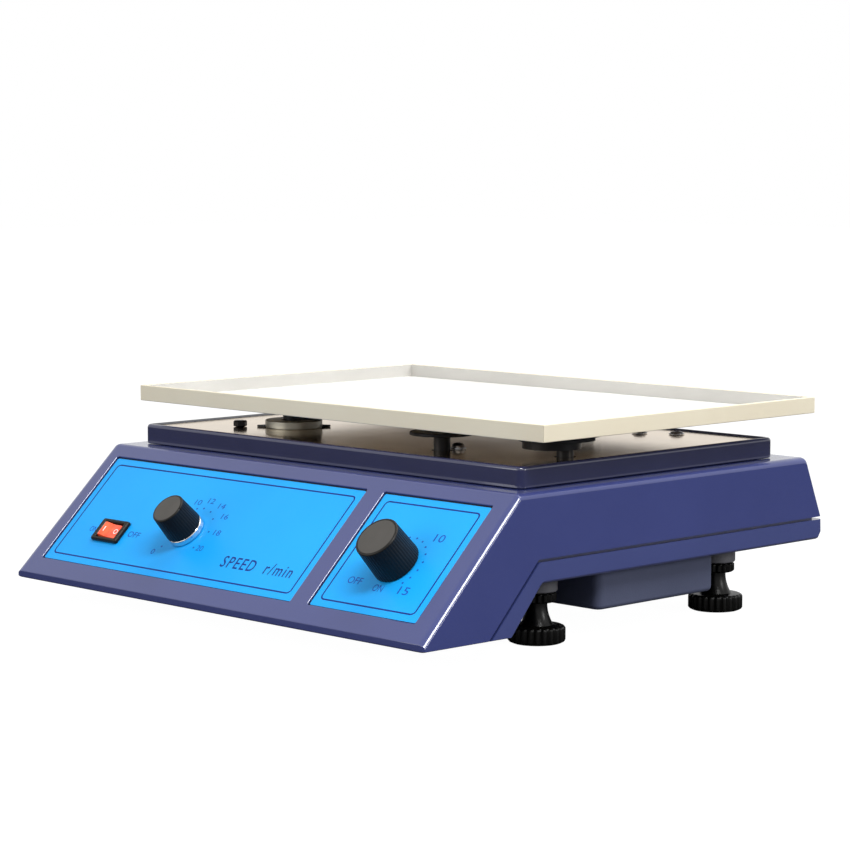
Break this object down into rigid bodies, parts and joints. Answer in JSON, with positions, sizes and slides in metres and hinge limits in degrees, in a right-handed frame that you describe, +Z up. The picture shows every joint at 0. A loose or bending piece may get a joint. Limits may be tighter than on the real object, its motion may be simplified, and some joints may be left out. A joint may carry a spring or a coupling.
{
  "type": "orbital shaker",
  "caption": "Bench orbital shaker: low wedge-fronted housing with speed and timer knobs, tray platform carried on belt-driven cranks, and levelling feet.",
  "frame": {"origin": "on the table, under the middle of the whole model at rest", "axes": "+X to the right of someone facing the controls, +Y away from them, +Z up"},
  "size_m": [0.332, 0.3128, 0.117],
  "materials": {
    "navy_paint": "satin enamel",
    "dark_navy_paint": "satin enamel",
    "grey_blue_paint": "satin enamel",
    "off_white_paint": "satin powder coat",
    "stainless": "polished",
    "steel": "machined",
    "black_steel": "black oxide",
    "aluminium": "machined",
    "label_film": "printed film",
    "black_plastic": "moulded",
    "grey_plastic": "moulded",
    "rocker_plastic": "translucent",
    "belt_rubber": "moulded",
    "board": "solder mask",
    "winding_tape": "taped winding"
  },
  "bodies": {
    "housing": {"upper_cover": "navy_paint", "lower_shell": "navy_paint", "underside_box": "grey_blue_paint", "top_frame": "dark_navy_paint", "deck_plate": "stainless", "deck_bolt_left": "black_steel", "deck_screw_front": "steel", "deck_screw_rear": "steel", "deck_screw_corner": "steel", "speed_label_plate": "label_film", "timer_label_plate": "label_film", "power_switch_body": "black_plastic", "speed_potentiometer": "grey_plastic", "timer_movement": "grey_plastic", "drive_bearing_housing": "aluminium", "drive_bearing_lower": "steel", "drive_bearing_upper": "steel", "motor": "steel", "motor_bracket": "steel", "drive_belt": "belt_rubber", "transformer": "winding_tape", "control_board": "board", "mains_inlet": "black_plastic", "front_idler_housing": "aluminium", "front_idler_bearing": "steel", "right_idler_housing": "aluminium", "right_idler_bearing": "steel", "rear_idler_housing": "aluminium", "rear_idler_bearing": "steel", "front_left_foot_boss": "grey_plastic", "front_right_foot_boss": "grey_plastic", "rear_left_foot_boss": "grey_plastic", "rear_right_foot_boss": "grey_plastic"},
    "drive_crank": {"drive_crank": "black_steel", "driven_pulley": "aluminium"},
    "platform": {"platform_tray": "off_white_paint", "drive_pin_bearing": "black_steel", "front_pin_bearing": "black_steel", "right_pin_bearing": "black_steel", "rear_pin_bearing": "black_steel"},
    "motor_rotor": {"motor_pulley": "aluminium"},
    "speed_knob": {"speed_knob": "black_plastic", "speed_knob_skirt": "aluminium", "speed_spindle": "steel"},
    "timer_knob": {"timer_knob": "black_plastic", "timer_spindle": "steel"},
    "power_rocker": {"power_rocker": "rocker_plastic"},
    "front_idler": {"front_idler_crank": "black_steel"},
    "right_idler": {"right_idler_crank": "black_steel"},
    "rear_idler": {"rear_idler_crank": "black_steel"},
    "front_left_foot": {"front_left_foot": "black_plastic"},
    "front_left_lock_ring": {"front_left_lock_ring": "black_plastic"},
    "front_right_foot": {"front_right_foot": "black_plastic"},
    "front_right_lock_ring": {"front_right_lock_ring": "black_plastic"},
    "rear_left_foot": {"rear_left_foot": "black_plastic"},
    "rear_left_lock_ring": {"rear_left_lock_ring": "black_plastic"},
    "rear_right_foot": {"rear_right_foot": "black_plastic"},
    "rear_right_lock_ring": {"rear_right_lock_ring": "black_plastic"}
  },
  "joints": [
    {"name": "drive_crank_turn", "type": "hinge", "parent": "housing", "child": "drive_crank", "pos_m": [-0.085, -0.01835, 0.09], "axis": [0, 0, 1], "continuous": true},
    {"name": "platform_pin_turn", "type": "hinge", "parent": "drive_crank", "child": "platform", "pos_m": [-0.0783, -0.01092, 0.105], "axis": [0, 0, 1], "continuous": true},
    {"name": "motor_shaft_turn", "type": "hinge", "parent": "housing", "child": "motor_rotor", "pos_m": [0.009, 0.02465, 0.07], "axis": [0, 0, 1], "continuous": true},
    {"name": "front_idler_turn", "type": "hinge", "parent": "housing", "child": "front_idler", "pos_m": [0.061, -0.04235, 0.09], "axis": [0, 0, 1], "continuous": true},
    {"name": "right_idler_turn", "type": "hinge", "parent": "housing", "child": "right_idler", "pos_m": [0.128, -0.01835, 0.09], "axis": [0, 0, 1], "continuous": true},
    {"name": "rear_idler_turn", "type": "hinge", "parent": "housing", "child": "rear_idler", "pos_m": [0.019, 0.09865, 0.09], "axis": [0, 0, 1], "continuous": true},
    {"name": "speed_knob_turn", "type": "hinge", "parent": "housing", "child": "speed_knob", "pos_m": [-0.0536, -0.12464, 0.04675], "axis": [0, -0.6951, 0.719], "range_deg": [-50, 220]},
    {"name": "timer_knob_turn", "type": "hinge", "parent": "housing", "child": "timer_knob", "pos_m": [0.1107, -0.12385, 0.04752], "axis": [0, -0.6951, 0.719], "range_deg": [-268, 46]},
    {"name": "power_rocker_tilt", "type": "hinge", "parent": "housing", "child": "power_rocker", "pos_m": [-0.1128, -0.13019, 0.04069], "axis": [0, 0.719, 0.6951], "range_deg": [-20, 0]},
    {"name": "front_left_foot_level", "type": "slide", "parent": "housing", "child": "front_left_foot", "axis": [0, 0, -1], "range_m": [0, 0.008]},
    {"name": "front_right_foot_level", "type": "slide", "parent": "housing", "child": "front_right_foot", "axis": [0, 0, -1], "range_m": [0, 0.008]},
    {"name": "rear_left_foot_level", "type": "slide", "parent": "housing", "child": "rear_left_foot", "axis": [0, 0, -1], "range_m": [0, 0.008]},
    {"name": "rear_right_foot_level", "type": "slide", "parent": "housing", "child": "rear_right_foot", "axis": [0, 0, -1], "range_m": [0, 0.008]},
    {"name": "front_left_lock_ring_turn", "type": "hinge", "parent": "housing", "child": "front_left_lock_ring", "pos_m": [-0.136, -0.04585, 0.024], "axis": [0, 0, 1], "continuous": true},
    {"name": "front_right_lock_ring_turn", "type": "hinge", "parent": "housing", "child": "front_right_lock_ring", "pos_m": [0.134, -0.04585, 0.024], "axis": [0, 0, 1], "continuous": true},
    {"name": "rear_left_lock_ring_turn", "type": "hinge", "parent": "housing", "child": "rear_left_lock_ring", "pos_m": [-0.136, 0.09825, 0.024], "axis": [0, 0, 1], "continuous": true},
    {"name": "rear_right_lock_ring_turn", "type": "hinge", "parent": "housing", "child": "rear_right_lock_ring", "pos_m": [0.134, 0.09825, 0.024], "axis": [0, 0, 1], "continuous": true}
  ],
  "couplings": [
    {"joint": "platform_pin_turn", "follows": "drive_crank_turn", "ratio": -1},
    {"joint": "motor_shaft_turn", "follows": "drive_crank_turn", "ratio": 2.5},
    {"joint": "front_idler_turn", "follows": "drive_crank_turn", "ratio": 1},
    {"joint": "right_idler_turn", "follows": "drive_crank_turn", "ratio": 1},
    {"joint": "rear_idler_turn", "follows": "drive_crank_turn", "ratio": 1}
  ]
}
